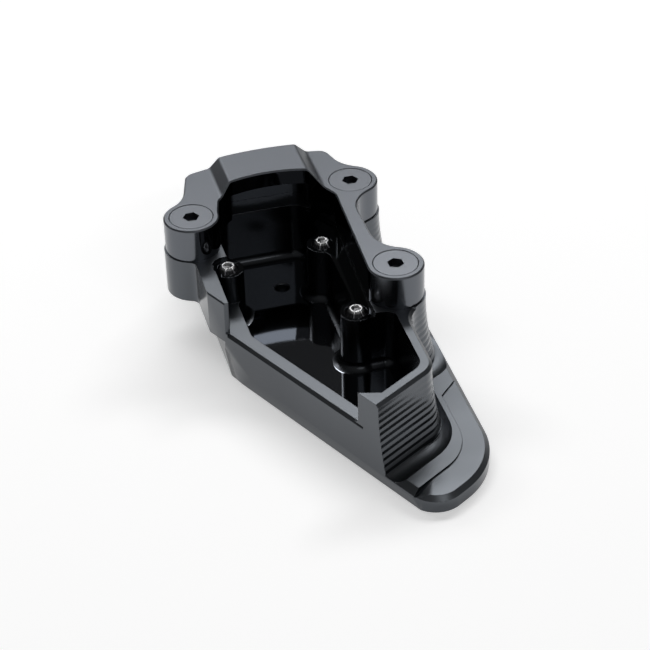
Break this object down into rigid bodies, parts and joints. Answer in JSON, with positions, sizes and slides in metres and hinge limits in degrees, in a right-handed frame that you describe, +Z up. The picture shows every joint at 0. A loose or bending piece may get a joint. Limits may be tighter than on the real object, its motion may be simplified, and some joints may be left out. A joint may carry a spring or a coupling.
{
  "type": "kickstand foot enlarger",
  "caption": "Machined shoe with a wide flat sole and a deep pocket, which bolts round the foot of a motorbike's side stand under a horseshoe clamp plate.",
  "frame": {"origin": "on the underside of the sole, in the middle of the whole object's box", "axes": "+Z up from the sole, +Y along the length from the nose of the sole to the bridge, +X towards the wide side of the sole"},
  "size_m": [0.0684, 0.1276, 0.0378],
  "materials": {
    "anodised_base": "black anodised, machined, satin",
    "anodised_clamp": "black anodised, machined, satin",
    "black_screw_steel": "black oxide, satin",
    "bright_screw_steel": "plain machined steel"
  },
  "bodies": {
    "root": {"base_shoe": "anodised_base", "clamp_plate": "anodised_clamp", "clamp_screws": "black_screw_steel", "support_set_screws": "bright_screw_steel"}
  },
  "joints": []
}
